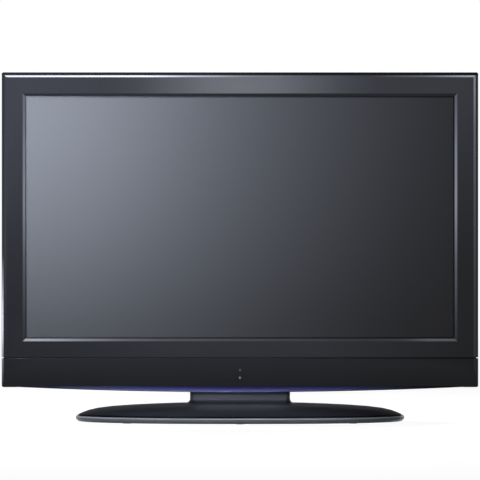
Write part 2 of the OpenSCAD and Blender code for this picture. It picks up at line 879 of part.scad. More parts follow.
// Pressed steel tray with a white inside; its studs carry the boards
module backlight_tray() {
    color("#a9acb1") union() {
        plate(tray_w, tray_h, d_floor, d_back);
        frame(tray_w, tray_h, tray_w - 2 * tray_t, tray_h - 2 * tray_t, d_film, d_back);
        for (b = boards, p = board_studs(b)) rod_y(p[0], y_back - tray_t / 2, y_pcb, p[1], stud_r);
    }
}

// Hat-section channel between two depths, drawn in (x, y)
module hat(w, y0, y1, t, foot) {
    difference() {
        union() {
            translate([-w / 2, y0]) square([w, y1 - y0]);
            translate([-w / 2 - foot, y0]) square([w + 2 * foot, t]);
        }
        translate([-w / 2 + t, y0 - cut]) square([w - 2 * t, y1 - y0 - t + cut]);
    }
}

z_rail = pic_z - vesa_h / 2 - rail_over;
// Pair of steel rails for a wall mount
module mount_rails() {
    foot = 6;
    color("#8c8f94") for (s = [-1, 1]) translate([s * vesa_w / 2, 0, 0])
        along_z(z_rail, z_rail + vesa_h + 2 * rail_over)
            hat(rail_w - 2 * foot, y_back, y_back + rail_d, rail_t, foot);
}

module vesa_places() {
    for (x = [-1, 1], z = [-1, 1]) translate([x * vesa_w / 2, 0, pic_z + z * vesa_h / 2]) children();
}

mount_boss_t = 5;
mount_boss_r = vesa_r + mount_boss_t;
// Threaded bosses that stand on the rails and come out flush with the back
module mount_bosses() {
    thread_l = 25;
    color("#b5b8bd") vesa_places() difference() {
        rod_y(0, y_back + rail_d, y_rear, 0, mount_boss_r);
        rod_y(0, y_rear - thread_l, y_rear + cut, 0, vesa_r);
    }
}

// Hat-section bracket that ties the post to the back of the module
module stand_bracket() {
    foot = 10;
    color("#8c8f94") difference() {
        along_z(bracket_top - bracket_h, bracket_top)
            hat(post_w - 2 * foot, y_back, -post_d / 2, rail_t, foot);
        stand_screw_places() rod_y(0, -post_d / 2 - rail_t - cut, -post_d / 2 + cut, 0,
            stand_screw_r + fit_gap);
    }
}

// Circuit boards: parts stand on the board's rear face

module board(b) {
    block(b[0], b[0] + b[2], y_pcb, y_parts, b[1], b[1] + b[3]);
}

// Component on a board: corner at [x, z], size as [width, height, depth]
module part_on(b, at, size) {
    block(b[0] + at[0], b[0] + at[0] + size[0], y_parts - pcb_t / 2, y_parts + size[2],
        b[1] + at[1], b[1] + at[1] + size[1]);
}

// Upright capacitor on a board: centre at [x, z], size as [radius, depth]
module can_on(b, at, size) {
    rod_y(b[0] + at[0], y_parts - pcb_t / 2, y_parts + size[1], b[1] + at[1], size[0]);
}

// Finned heat sink on a board
module heat_sink(b, at, size, fins) {
    fin_t = 1.5;
    root_t = 3;
    pitch = (size[0] - fin_t) / (fins - 1);
    part_on(b, at, [size[0], size[1], root_t]);
    for (i = [0 : fins - 1]) part_on(b, at + [i * pitch, 0], [fin_t, size[1], size[2]]);
}

// Inverter board: a transformer and a plug for each pair of lamps
inverter_pitch = 28;
inverter_transformer = [18, 24, 14];
inverter_transformer_at = [9, 20];
inverter_lamp_plug = [12, 7, 8];
inverter_lamp_plug_at = [12, 48];
inverter_feed_plug = [30, 9, 6];
inverter_feed_plug_at = [20, 5];
module inverter_board() {
    b = boards[2];
    color("#2f6b43") union() {
        board(b);
        for (i = [0 : 6]) {
            part_on(b, inverter_transformer_at + [i * inverter_pitch, 0], inverter_transformer);
            part_on(b, inverter_lamp_plug_at + [i * inverter_pitch, 0], inverter_lamp_plug);
        }
        part_on(b, inverter_feed_plug_at, inverter_feed_plug);
    }
}

// Flat cable and the sockets that it runs between
cable_w = 22;
cable_t = 0.6;
cable_in = 20;
cable_z = timing_z + cable_in;
cable_socket = [8, 26, 2.4];
cable_socket_in = 14;
cable_socket_z = cable_z + (cable_w - cable_socket[1]) / 2;

// Timing board: the shielded driver and its chips
timing_shield = [90, 30, 5];
timing_shield_at = [60, 14];
timing_chip = [9, 9, 2];
timing_chip_at = [166, 20];
timing_chip_pitch = 14;
module timing_board() {
    b = boards[3];
    color("#2f6b43") union() {
        board(b);
        part_on(b, timing_shield_at, timing_shield);
        part_on(b, [cable_socket_in, cable_socket_z - b[1]], cable_socket);
        for (i = [0 : 2]) part_on(b, timing_chip_at + [i * timing_chip_pitch, 0], timing_chip);
    }
}

// Power supply: capacitors, heat sinks, transformer, choke and relay
supply_bulk_can = [14, 30];
supply_bulk_can_at = [30, 40];
supply_bulk_pitch = 34;
supply_small_can = [6, 16];
supply_small_can_at = [30, 196];
supply_small_pitch = 18;
supply_inlet_sink = [60, 50, 26];
supply_inlet_sink_at = [20, 70];
supply_outlet_sink = [50, 60, 26];
supply_outlet_sink_at = [110, 120];
supply_transformer = [40, 42, 28];
supply_transformer_at = [110, 66];
supply_choke = [46, 40, 24];
supply_choke_at = [24, 140];
supply_relay = [34, 24, 20];
supply_relay_at = [146, 20];
module supply_board() {
    b = boards[1];
    color("#8a6a3a") union() {
        board(b);
        for (i = [0 : 2]) can_on(b, supply_bulk_can_at + [i * supply_bulk_pitch, 0], supply_bulk_can);
        for (i = [0 : 4]) can_on(b, supply_small_can_at + [i * supply_small_pitch, 0], supply_small_can);
        heat_sink(b, supply_inlet_sink_at, supply_inlet_sink, 7);
        heat_sink(b, supply_outlet_sink_at, supply_outlet_sink, 6);
        part_on(b, supply_transformer_at, supply_transformer);
        part_on(b, supply_choke_at, supply_choke);
        part_on(b, supply_relay_at, supply_relay);
    }
}

// Main board: processor sink, tuner, memory and sound chip
main_sink = [44, 44, 14];
main_sink_at = [78, 84];
main_tuner = [40, 60, 13];
main_tuner_at = [14, 44];
main_memory = [14, 14, 1.4];
main_memory_at = [132, 84];
main_memory_pitch = 22;
main_sound_chip = [26, 26, 2];
main_sound_chip_at = [84, 50];
main_can = [4, 11];
main_can_at = [140, 48];
main_can_pitch = 12;
module main_board() {
    b = boards[0];
    socket_x = main_w - cable_socket_in - cable_socket[0];
    color("#2f6b43") union() {
        board(b);
        heat_sink(b, main_sink_at, main_sink, 9);
        part_on(b, main_tuner_at, main_tuner);
        for (i = [0 : 1]) part_on(b, main_memory_at + [0, i * main_memory_pitch], main_memory);
        part_on(b, main_sound_chip_at, main_sound_chip);
        for (i = [0 : 3]) can_on(b, main_can_at + [i * main_can_pitch, 0], main_can);
        part_on(b, [socket_x, cable_socket_z - b[1]], cable_socket);
    }
}

// Flat cable from the main board over the rail to the timing board
module panel_cable() {
    rise = 1;
    clear = 4;
    d0 = y_parts + cable_socket[2];
    d1 = max(d0, y_back + rail_d) + rise;
    x0 = -board_x - cable_socket_in;
    x1 = -timing_w / 2 + cable_socket_in;
    rail_x0 = -vesa_w / 2 - rail_w / 2 - clear;
    rail_x1 = -vesa_w / 2 + rail_w / 2 + clear;
    front = [[x0 - cable_socket[0], d0], [x0, d0], [rail_x0, d1], [rail_x1, d1], [x1, d0],
        [x1 + cable_socket[0], d0]];
    back = [for (i = [len(front) - 1 : -1 : 0]) front[i] + [0, cable_t]];
    color("#d8d8d2") along_z(cable_z, cable_z + cable_w) polygon(concat(front, back));
}

// Terminals: every socket faces down into the terminal bay

antenna_in = 15;
hdmi_in = [40, 63];
vga_in = 93;
av_in = 143;
antenna_x = bay_x[0] + antenna_in;
hdmi_x = [bay_x[0] + hdmi_in[0], bay_x[0] + hdmi_in[1]];
vga_x = bay_x[0] + vga_in;
av_x = bay_x[0] + av_in;
av_columns = 4;
hdmi = [15, 5.6];
vga = [17, 8.4];
rca_r = 4.2;
rca_over = 2;
antenna_r = 4.8;
antenna_over = 2;
z_nose = z_plate - nose_l;

// Outline of a socket with two cut lower corners
module cut_corner_rect(size, c) {
    w = size[0] / 2;
    h = size[1] / 2;
    polygon([[-w, h], [w, h], [w, c - h], [w - c, -h], [c - w, -h], [-w, c - h]]);
}

module av_places() {
    for (i = [0 : av_columns - 1], j = [0, 1])
        translate([av_x + (i - (av_columns - 1) / 2) * row_pitch, jack_y + j * row_pitch, 0]) children();
}

// Steel plate round the sockets, on the roof of the terminal bay
module jack_plate() {
    z1 = z_plate + plate_t;
    module window(x, size) {
        along_z(z_plate - cut, z1 + cut) translate([x, jack_y])
            square(size + 2 * [nose_gap, nose_gap], center = true);
    }
    color("#9a9da2") difference() {
        block(bay_x[0] - plate_lap, bay_x[1] + plate_lap, y_parts + fit_gap,
            bay_y + window_d + plate_lap, z_plate, z1);
        rod_z(antenna_x, jack_y, z_plate - cut, z1 + cut, antenna_r + nose_gap);
        for (x = hdmi_x) window(x, hdmi);
        window(vga_x, vga);
        av_places() rod_z(0, 0, z_plate - cut, z1 + cut, rca_r + nose_gap);
    }
}

// Socket body between the board's face and the socket's axis, above the plate
z_socket = z_plate + plate_t;
module socket_body(x, w, d, h) {
    block(x - w / 2, x + w / 2, y_parts, jack_y + d, z_socket, z_socket + h);
}

// Hollow shell of a socket, from its nose up into its body
module socket_shell(x, size, corner, t, z0, deep) {
    translate([x, jack_y, z0]) difference() {
        linear_extrude(z_socket + cut - z0) cut_corner_rect(size, corner);
        translate([0, 0, -cut]) linear_extrude(deep + cut) cut_corner_rect(size - 2 * [t, t], corner);
    }
}

module hdmi_sockets() {
    shell_t = 0.6;
    corner = 1.6;
    body_h = 11;
    tongue_w = 10;
    tongue = [-0.2, 1];
    tongue_in = 1.5;
    color("#b5b8bd") for (x = hdmi_x) union() {
        socket_body(x, hdmi[0], hdmi[1] / 2, body_h);
        socket_shell(x, hdmi, corner, shell_t, z_nose, z_socket - z_nose);
        block(x - tongue_w / 2, x + tongue_w / 2, jack_y + tongue[0], jack_y + tongue[1],
            z_nose + tongue_in, z_socket + cut);
    }
}

module av_jacks() {
    hole_r = 1.6;
    core_t = 1;
    shell_t = 0.5;
    body_h = 12;
    bore_h = 6;
    groove_d = 4;
    z0 = z_nose - rca_over;
    color("#3a3a3e") difference() {
        union() {
            socket_body(av_x, av_columns * row_pitch, row_pitch * 1.5, body_h);
            av_places() rod_z(0, 0, z0, z_socket + cut, rca_r);
        }
        av_places() rod_z(0, 0, z0 - cut, z_socket + bore_h, hole_r);
        av_places() difference() {
            rod_z(0, 0, z0 - cut, z0 + groove_d, rca_r - shell_t);
            rod_z(0, 0, z0 - 2 * cut, z0 + groove_d + cut, hole_r + core_t);
        }
    }
}

module vga_socket() {
    shell_t = 0.6;
    corner = 2.4;
    nose_in = 1;
    deep = 5;
    body = [30, 6, 11];
    color("#2f3f7a") union() {
        socket_body(vga_x, body[0], body[1], body[2]);
        socket_shell(vga_x, vga, corner, shell_t, z_nose + nose_in, deep);
    }
}

module antenna_socket() {
    shell_t = 1.2;
    deep = 9;
    body = [16, 7, 14];
    z0 = z_nose - antenna_over;
    color("#b5b8bd") difference() {
        union() {
            socket_body(antenna_x, body[0], body[1], body[2]);
            rod_z(antenna_x, jack_y, z0, z_socket + cut, antenna_r);
        }
        rod_z(antenna_x, jack_y, z0 - cut, z0 + deep, antenna_r - shell_t);
    }
}

// Mains inlet: a snap-in socket in the roof of the mains bay
inlet = [24.2, 16.2];
inlet_d = 17;
inlet_t = 1.6;
inlet_flange = 2.5;
inlet_lap = 3;
inlet_x = (mains_x[0] + mains_x[1]) / 2;
inlet_in = 24;
inlet_y = bay_y + inlet_in;
module inlet_box(grow, z0, z1) {
    block(inlet_x - inlet[0] / 2 - grow, inlet_x + inlet[0] / 2 + grow,
        inlet_y - inlet[1] / 2 - grow, inlet_y + inlet[1] / 2 + grow, z0, z1);
}
module mains_inlet() {
    z0 = mains_top - inlet_flange;
    z1 = z0 + inlet_d;
    back_t = 2;
    pin = [2, 4, 11];
    pin_pitch = 7;
    earth_out = 2;
    color("#1d1d20") union() {
        difference() {
            union() {
                inlet_box(inlet_t, z0, z1 + back_t);
                inlet_box(inlet_t + inlet_lap, z0, mains_top);
            }
            inlet_box(0, z0 - cut, z1);
        }
        for (i = [-1 : 1]) translate([inlet_x + pin_pitch * i, inlet_y + earth_out * (1 - abs(i)), 0])
            block(-pin[0] / 2, pin[0] / 2, -pin[1] / 2, pin[1] / 2, z1 - pin[2], z1 + cut);
    }
}

// Speakers

z_floor = rear_low + wall;
speaker_y = (y_back + y_rear - wall) / 2;
z_box = z_floor + basket_t;

// Closed speaker box with a round port for the driver in its floor
module speaker_box(s) {
    x = s * (speaker_x + speaker_w / 2);
    t = 2.5;
    module shell(g, z0, z1) {
        block(x - speaker_w / 2 + g, x + speaker_w / 2 - g, speaker_y - speaker_d / 2 + g,
            speaker_y + speaker_d / 2 - g, z0, z1);
    }
    color("#1d1d20") difference() {
        shell(0, z_box, z_box + speaker_h);
        shell(t, z_box + t, z_box + speaker_h - t);
        rod_z(x, speaker_y, z_box - cut, z_box + t + cut, cone_r + port_gap);
    }
}
module speaker_box_left() {
    speaker_box(-1);
}
module speaker_box_right() {
    speaker_box(1);
}

// Drivers that face down: square basket, cone and magnet
module speaker_drivers() {
    basket_rim = 6;
    side = 2 * cone_r + basket_rim;
    cone_t = 2;
    cone_h = 11;
    throat_r = 9;
    yoke_h = 9;
    magnet_r = 17;
    z_cone = basket_t + cone_h;
    z_yoke = z_cone + yoke_h;
    color("#3a3a3e") for (s = [-1, 1])
        translate([s * (speaker_x + speaker_w / 2), speaker_y, z_floor]) {
            difference() {
                translate([-side / 2, -side / 2, 0]) cube([side, side, basket_t]);
                rod_z(0, 0, -cut, basket_t + cut, cone_r - cone_t);
            }
            rotate_extrude() polygon([[0, z_cone], [throat_r, z_cone], [cone_r - cone_t, basket_t],
                [cone_r, basket_t], [throat_r + cone_t, z_cone + cone_t], [throat_r + cone_t, z_yoke],
                [magnet_r, z_yoke], [magnet_r, driver_h], [0, driver_h]]);
        }
}

// Rear cabinet

function rear_rect(inset, draw, r) = round_rect(-rear_half + draw + inset, rear_half - draw - inset,
    rear_low + inset, rear_top - draw - inset, r, 5);

module rear_outer() {
    turn = back_edge * (1 - cos(45));
    skin([ring_y(rear_rect(0, 0, rear_r), y_part),
        ring_y(rear_rect(0, 0, rear_r), y_part + band_d),
        ring_y(rear_rect(0, taper, back_r), y_rear - back_edge),
        ring_y(rear_rect(turn, taper, back_r), y_rear - turn),
        ring_y(rear_rect(back_edge, taper, back_r), y_rear)]);
}

module rear_inner() {
    skin([ring_y(rear_rect(wall, 0, rear_r), y_part - cut),
        ring_y(rear_rect(wall, 0, rear_r), y_part + band_d),
        ring_y(rear_rect(wall, taper, back_r), y_rear - back_edge),
        ring_y(rear_rect(back_edge, taper, back_r), y_rear - wall)]);
}

// Space of the two bays, or with grow the block that their walls are cut from
module bays(grow) {
    block(bay_x[0] - grow, bay_x[1] + grow, bay_y - grow, y_rear + cut, z_flat - cut, bay_top + grow);
    block(mains_x[0] - grow, mains_x[1] + grow, bay_y - grow, y_rear + cut, z_flat - cut, mains_top + grow);
}

// Slots in the slope above the back plate, and two fields on the back plate
module vents() {
    slope_h = 38;
    slope_in = 25;
    field_h = 44;
    field_pitch = 60;
    span = rear_half - taper - back_r;
    n = floor(span / vent_pitch);
    field_n = floor((span - board_x) / vent_pitch);
    module slot(x, y0, z0, h) {
        block(x - vent_w / 2, x + vent_w / 2, y0, y_rear + cut, z0, z0 + h);
    }
    for (i = [-n : n]) slot(i * vent_pitch, y_part + band_d, rear_top - slope_in - slope_h, slope_h);
    for (s = [-1, 1], i = [0 : field_n - 1], row = [-1, 0])
        slot(s * (board_x + i * vent_pitch), y_rear - wall - cut, pic_z + row * field_pitch, field_h);
}

// Slots under each speaker
module speaker_slots() {
    slot_w = 3;
    pitch = 6;
    half_l = cone_r - port_gap;
    for (s = [-1, 1], i = [-3 : 3]) translate([s * (speaker_x + speaker_w / 2), speaker_y + i * pitch, 0])
        block(-half_l, half_l, -slot_w / 2, slot_w / 2, rear_low - cut, z_floor + cut);
}

function key_z(i) = pic_z + (i - (key_count - 1) / 2) * key_pitch;
module key_windows() {
    for (i = [0 : key_count - 1]) block(key_x - cut, rear_half + cut, key_y - key_w / 2 - key_gap,
        key_y + key_w / 2 + key_gap, key_z(i) - key_l / 2 - key_gap, key_z(i) + key_l / 2 + key_gap);
}

// Ribs that carry the key board
module key_ribs() {
    rib_t = 3;
    rib_in = 3;
    for (s = [-1, 1]) translate([0, 0, pic_z + s * (key_board_l / 2 - rib_in)])
        block(key_board_x + key_board_t, key_x + wall / 2, key_y - key_board_d / 2, key_y + key_board_d / 2,
            -rib_t / 2, rib_t / 2);
}

module neck_hole() {
    g = neck_gap;
    along_z(rear_low - cut, z_floor + cut) polygon(round_rect(-neck_w / 2 - g, neck_w / 2 + g,
        -neck_d / 2 - g, neck_d / 2 + g, neck_r + g, 6));
}

// Vented back shell with screw wells, bays for plugs and mains, and the opening for the neck
module rear_cover() {
    cover_screws = concat(bezel_screws, panel_screws);
    color("#232326") difference() {
        rear_outer();
        difference() {
            rear_inner();
            bays(wall);
            for (p = cover_screws) rod_y(p[0], y_part - 2 * cut, y_rear + cut, p[1], well_r);
            key_ribs();
        }
        bays(0);
        vents();
        speaker_slots();
        key_windows();
        neck_hole();
        for (p = cover_screws) {
            rod_y(p[0], y_part - cut, y_rear + cut, p[1], screw_r + fit_gap);
            rod_y(p[0], y_part + wall, y_rear + cut, p[1], well_bore);
        }
        vesa_places() rod_y(0, y_rear - wall - cut, y_rear + cut, 0, mount_boss_r + fit_gap);
        stand_screw_places() rod_y(0, y_rear - wall - cut, y_rear + cut, 0, stand_head_r + cut);
        block(bay_x[0] + window_in, bay_x[1] - window_in, bay_y + fit_gap, bay_y + window_d,
            bay_top - cut, z_plate + cut);
        inlet_box(inlet_t + fit_gap, mains_top - cut, mains_top + wall + cut);
    }
}

module rear_screws() {
    color("#55575c") for (p = concat(bezel_screws, panel_screws))
        translate([p[0], y_part + wall, p[1]]) rotate([90, 0, 0])
            screw(screw_r, wall + screw_l - pilot_gap, screw_head_r, screw_head_h);
}

// Side keys

module key_board() {
    color("#2f6b43") block(key_board_x, key_board_x + key_board_t, key_y - key_board_d / 2,
        key_y + key_board_d / 2, pic_z - key_board_l / 2, pic_z + key_board_l / 2);
}

module key_switches() {
    body = 6;
    plunger_r = 1.7;
    plunger_h = 1;
    color("#1d1d20") for (i = [0 : key_count - 1])
        translate([key_board_x + key_board_t, key_y, key_z(i)]) {
            translate([0, -body / 2, -body / 2]) cube([switch_h - plunger_h, body, body]);
            rotate([0, 90, 0]) cylinder(r = plunger_r, h = switch_h);
        }
}

// Key cap with rounded corners and a flange behind the cover's wall
module key(i) {
    x0 = key_x - fit_gap - key_flange;
    cap_r = 2;
    color("#2c2c33") union() {
        along_x(x0, rear_half + key_proud) polygon(round_rect(key_y - key_w / 2, key_y + key_w / 2,
            key_z(i) - key_l / 2, key_z(i) + key_l / 2, cap_r, 5));
        block(x0, key_x - fit_gap, key_y - key_w / 2 - key_lip, key_y + key_w / 2 + key_lip,
            key_z(i) - key_l / 2 - key_lip, key_z(i) + key_l / 2 + key_lip);
    }
}
module key_power() {
    key(7);
}
module key_source() {
    key(6);
}
module key_menu() {
    key(5);
}
module key_enter() {
    key(4);
}
module key_volume_up() {
    key(3);
}
module key_volume_down() {
    key(2);
}
module key_channel_up() {
    key(1);
}
module key_channel_down() {
    key(0);
}

base_rim();
base_plate();
base_cover();
rubber_feet();
swivel_housing();
swivel_bush();
housing_screws();
swivel_shaft();
swivel_retainer();
swivel_bolt();
stand_post();
neck_cover();
stand_screws();
front_bezel();
lower_panel();
accent_strip();
receiver_lens();
indicator_lens();
receiver_board();
seam_screws();
lcd_cell();
lcd_front_frame();
lcd_mid_frame();
film_stack();
lamps();
lamp_holders();
backlight_tray();
mount_rails();
mount_bosses();
stand_bracket();
inverter_board();
timing_board();
supply_board();
main_board();
panel_cable();
jack_plate();
hdmi_sockets();
av_jacks();
vga_socket();
antenna_socket();
mains_inlet();
speaker_box_left();
speaker_box_right();
speaker_drivers();
rear_cover();
rear_screws();
key_board();
key_switches();
key_power();
key_source();
key_menu();
key_enter();
key_volume_down();
key_volume_up();
key_channel_down();
key_channel_up();
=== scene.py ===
"""Looks of a flat-panel television on an oval swivel stand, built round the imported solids."""
import math

import bpy
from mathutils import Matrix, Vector


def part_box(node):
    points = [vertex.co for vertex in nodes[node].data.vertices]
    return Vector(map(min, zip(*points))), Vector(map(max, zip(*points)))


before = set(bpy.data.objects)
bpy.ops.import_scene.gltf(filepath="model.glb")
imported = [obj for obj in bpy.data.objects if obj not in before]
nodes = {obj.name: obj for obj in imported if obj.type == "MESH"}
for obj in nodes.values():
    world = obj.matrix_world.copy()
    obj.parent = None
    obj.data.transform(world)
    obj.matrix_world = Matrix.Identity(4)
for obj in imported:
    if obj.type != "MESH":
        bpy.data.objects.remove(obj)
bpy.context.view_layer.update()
MM = 0.001

# Places that the lights and materials use, read from the frame
bezel_low, bezel_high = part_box("front_bezel")
panel_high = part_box("lower_panel")[1]
strip_low, strip_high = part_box("accent_strip")
HALF_W = bezel_high.x
FACE_Y = bezel_low.y
TOP_Z = bezel_high.z
ROLL_Z = TOP_Z - 6.5 * MM          # lower end of the bezel's top roll, which shows no glare
LAND_Z = panel_high.z - 2 * MM     # lower end of the land in the groove of the seam, which shows none either
UNDER_Z = strip_low.z - 3 * MM     # just under the cabinet
FLARE_SHADE_Z = 46.2 * MM                # where the neck's flared foot starts; below it the neck's colour is a painted shade
SHADOW_LINE_Z = 16.5 * MM                 # lower edge of the base's dome; the cover's skirt under it is painted near black, a painted shadow line
RIM_HIGHLIGHT_Z = 10.3 * MM                  # lower end of the painted highlight along the rim's upper edge
STRIP_RISE = 0.07                  # rise of the strip's lower edge towards its ends, per metre squared
STRIP_LIGHT_FADE = 16 * MM               # height over which the painted light on the strip fades out upwards
BOARD = 1.7 * MM                   # thickness of the circuit boards
TALLEST = 30 * MM                  # height of the tallest component on them

# Camera: level with the lower part of the picture, straight ahead
CAMERA_BACK = 6.5
CAMERA_Z = 0.3981
FOCAL_PX = 2950.0
IMAGE_PX = 480.0
SENSOR = 36.0


def make_camera():
    data = bpy.data.cameras.new("camera")
    data.sensor_width = SENSOR
    data.lens = FOCAL_PX / IMAGE_PX * SENSOR
    camera = bpy.data.objects.new("camera", data)
    camera.location = (0.0, -CAMERA_BACK, CAMERA_Z)
    camera.rotation_euler = (math.radians(90), 0.0, 0.0)
    bpy.context.scene.collection.objects.link(camera)
    bpy.context.scene.camera = camera


# Shading of the carried-over solids: welded, smooth, with sharp edges kept

WELD = 0.01 * MM
CRISP_DEG = 18
ROUND_DEG = 30


def smooth_group(name, angle_deg):
    group = bpy.data.node_groups.new(name, "GeometryNodeTree")
    group.interface.new_socket("Geometry", in_out="INPUT", socket_type="NodeSocketGeometry")
    group.interface.new_socket("Geometry", in_out="OUTPUT", socket_type="NodeSocketGeometry")
    add = group.nodes.new
    link = group.links.new
    source = add("NodeGroupInput")
    target = add("NodeGroupOutput")
    normals = add("GeometryNodeRemoveAttribute")
    normals.inputs["Name"].default_value = "custom_normal"
    merge = add("GeometryNodeMergeByDistance")
    merge.inputs["Distance"].default_value = WELD
    smooth = add("GeometryNodeSetShadeSmooth")
    angle = add("GeometryNodeInputMeshEdgeAngle")
    compare = add("FunctionNodeCompare")
    compare.data_type = "FLOAT"
    compare.operation = "GREATER_THAN"
    compare.inputs[1].default_value = math.radians(angle_deg)
    sharp = add("GeometryNodeSetShadeSmooth")
    sharp.domain = "EDGE"
    sharp.inputs["Shade Smooth"].default_value = False
    link(source.outputs[0], normals.inputs["Geometry"])
    link(normals.outputs["Geometry"], merge.inputs["Geometry"])
    link(merge.outputs["Geometry"], smooth.inputs["Geometry"])
    link(smooth.outputs["Geometry"], sharp.inputs["Geometry"])
    link(angle.outputs["Unsigned Angle"], compare.inputs[0])
    link(compare.outputs["Result"], sharp.inputs["Selection"])
    link(sharp.outputs["Geometry"], target.inputs[0])
    return group


def smooth_nodes():
    """The front's flat bevels stay crisp; rounder pieces are smoothed over wider angles."""
    crisp = smooth_group("smooth_18", CRISP_DEG)
    round_ = smooth_group("smooth_30", ROUND_DEG)
    for name, obj in nodes.items():
        group = crisp if name in ("front_bezel", "lower_panel") else round_
        obj.modifiers.new("smooth", "NODES").node_group = group


class Shader:
    """Small builder for a procedural material on one Principled shader."""

    def __init__(self, name, **constants):
        self.mat = bpy.data.materials.new(name)
        self.mat.use_nodes = True
        self.tree = self.mat.node_tree
        self.bsdf = self.tree.nodes["Principled BSDF"]
        self.space = self.tree.nodes.new("ShaderNodeTexCoord").outputs["Object"]
        for socket, value in constants.items():
            self.bsdf.inputs[socket.replace("_", " ")].default_value = value

    def add(self, kind, attributes=None, inputs=None):
        node = self.tree.nodes.new(kind)
        for key, value in (attributes or {}).items():
            setattr(node, key, value)
        for key, value in (inputs or {}).items():
            if isinstance(value, bpy.types.NodeSocket):
                self.tree.links.new(value, node.inputs[key])
            else:
                node.inputs[key].default_value = value
        return node

    def stretched(self, scale):
        node = self.add("ShaderNodeMapping", {}, {"Vector": self.space, "Scale": scale})
        return node.outputs["Vector"]

    def noise(self, scale, detail=2.0, rough=0.5, stretch=None):
        vector = self.stretched(stretch) if stretch else self.space
        node = self.add("ShaderNodeTexNoise", {}, {
            "Vector": vector, "Scale": scale, "Detail": detail, "Roughness": rough})
        return node.outputs["Fac"]

    def cells(self, scale, output="Distance"):
        return self.add("ShaderNodeTexVoronoi", {}, {"Vector": self.space, "Scale": scale}).outputs[output]

    def bands(self, axis, pitch, distortion=0.0):
        """Sine bands; the wave texture has twenty of them in two pi at scale 1."""
        node = self.add("ShaderNodeTexWave", {"bands_direction": axis, "wave_profile": "SIN"}, {
            "Vector": self.space, "Scale": math.pi / (10.0 * pitch), "Distortion": distortion})
        return node.outputs["Fac"]

    def axis(self, name):
        return self.add("ShaderNodeSeparateXYZ", {}, {"Vector": self.space}).outputs[name]

    def math(self, operation, a, b=0.0):
        return self.add("ShaderNodeMath", {"operation": operation}, {0: a, 1: b}).outputs[0]

    def spread(self, value, from_low, from_high, low, high):
        node = self.add("ShaderNodeMapRange", {}, {
            "Value": value, "From Min": from_low, "From Max": from_high, "To Min": low, "To Max": high})
        return node.outputs["Result"]

    def vary(self, noise, low, high):
        """Stretches the span that most of a noise's values fill."""
        return self.spread(noise, 0.3, 0.7, low, high)

    def mix(self, factor, a, b):
        node = self.add("ShaderNodeMix", {"data_type": "RGBA"})
        for index, value in ((0, factor), (6, a), (7, b)):
            if isinstance(value, bpy.types.NodeSocket):
                self.tree.links.new(value, node.inputs[index])
            else:
                node.inputs[index].default_value = value if index == 0 else (*value, 1.0)
        return node.outputs[2]

    def ramp(self, factor, stops, constant=False):
        node = self.add("ShaderNodeValToRGB", {}, {"Fac": factor})
        ramp = node.color_ramp
        ramp.interpolation = "CONSTANT" if constant else "LINEAR"
        while len(ramp.elements) < len(stops):
            ramp.elements.new(0.5)
        for element, (place, color) in zip(ramp.elements, stops):
            element.position = place
            element.color = (*color, 1.0)
        return node.outputs["Color"]

    def color(self, socket):
        self.tree.links.new(socket, self.bsdf.inputs["Base Color"])

    def rough(self, socket):
        self.tree.links.new(socket, self.bsdf.inputs["Roughness"])

    def bump(self, height, strength, distance):
        node = self.add("ShaderNodeBump", {}, {
            "Height": height, "Strength": strength, "Distance": distance})
        self.tree.links.new(node.outputs["Normal"], self.bsdf.inputs["Normal"])


def shade(color, factor):
    return tuple(min(1.0, c * factor) for c in color)


# Materials

SHEEN_TINT = (0.93, 0.95, 1.0, 1.0)
MATT_ROUGH = 0.85
MATT_LEVEL = 0.06


def gloss(name, color, rough, level, foot=None, crown=None):
    """Smooth moulding: faint flow marks, hazy wipe marks and a little orange peel; a foot is a height and the
    colour below it, which paints shade under that height or leaves a painted highlight above it, a crown a
    height above which the surface is matt."""
    s = Shader(name, Specular_IOR_Level=level, Specular_Tint=SHEEN_TINT)
    flow = s.noise(5.0, 3.0)
    tone = s.mix(flow, shade(color, 0.85), shade(color, 1.15))
    # Painted light: the colour under the foot's height is painted shade, or the surface's colour above it is a
    # painted highlight
    if foot:
        height, below = foot
        tone = s.mix(s.spread(s.axis("Z"), height - MM, height + MM, 1.0, 0.0), tone, below)
    s.color(tone)
    wipe = s.noise(22.0, 4.0, 0.6, (1.0, 1.0, 0.25))
    polish = s.vary(wipe, rough * 0.92, rough * 1.08)
    if crown:
        matt = s.spread(s.axis("Z"), crown - MM, crown + MM, 0.0, MATT_ROUGH)
        polish = s.math("MAXIMUM", polish, matt)
        sheen = s.spread(matt, 0.0, MATT_ROUGH, level, MATT_LEVEL)
        s.tree.links.new(sheen, s.bsdf.inputs["Specular IOR Level"])
    s.rough(polish)
    s.bump(s.noise(160.0, 1.0), 0.015, 0.2 * MM)
    return s.mat


def grained(name, color, rough, pitch, depth):
    """Spark-eroded moulding: fine leathery grain, slight shine on its crests."""
    s = Shader(name, Specular_IOR_Level=0.4)
    grain = s.cells(1.0 / pitch)
    cloud = s.noise(14.0, 3.0)
    fine = s.noise(0.6 / pitch, 3.0, 0.6)
    height = s.math("MULTIPLY_ADD", grain, 0.6)
    s.tree.links.new(fine, height.node.inputs[2])
    s.color(s.mix(cloud, shade(color, 0.82), shade(color, 1.18)))
    s.rough(s.vary(fine, rough - 0.06, rough + 0.06))
    s.bump(height, 0.35, depth)
    return s.mat


def plated(name, color, rough, spangle=90.0):
    """Zinc or nickel plate: faint crystal patches and rolling lines."""
    s = Shader(name, Metallic=1.0)
    patch = s.cells(spangle, "Color")
    patch = s.add("ShaderNodeSeparateXYZ", {}, {"Vector": patch}).outputs["X"]
    lines = s.noise(420.0, 2.0, 0.5, (1.0, 1.0, 0.04))
    s.color(s.mix(patch, shade(color, 0.84), shade(color, 1.06)))
    s.rough(s.spread(s.math("ADD", patch, lines), 0.4, 1.4, rough - 0.08, rough + 0.1))
    s.bump(lines, 0.05, 0.05 * MM)
    return s.mat


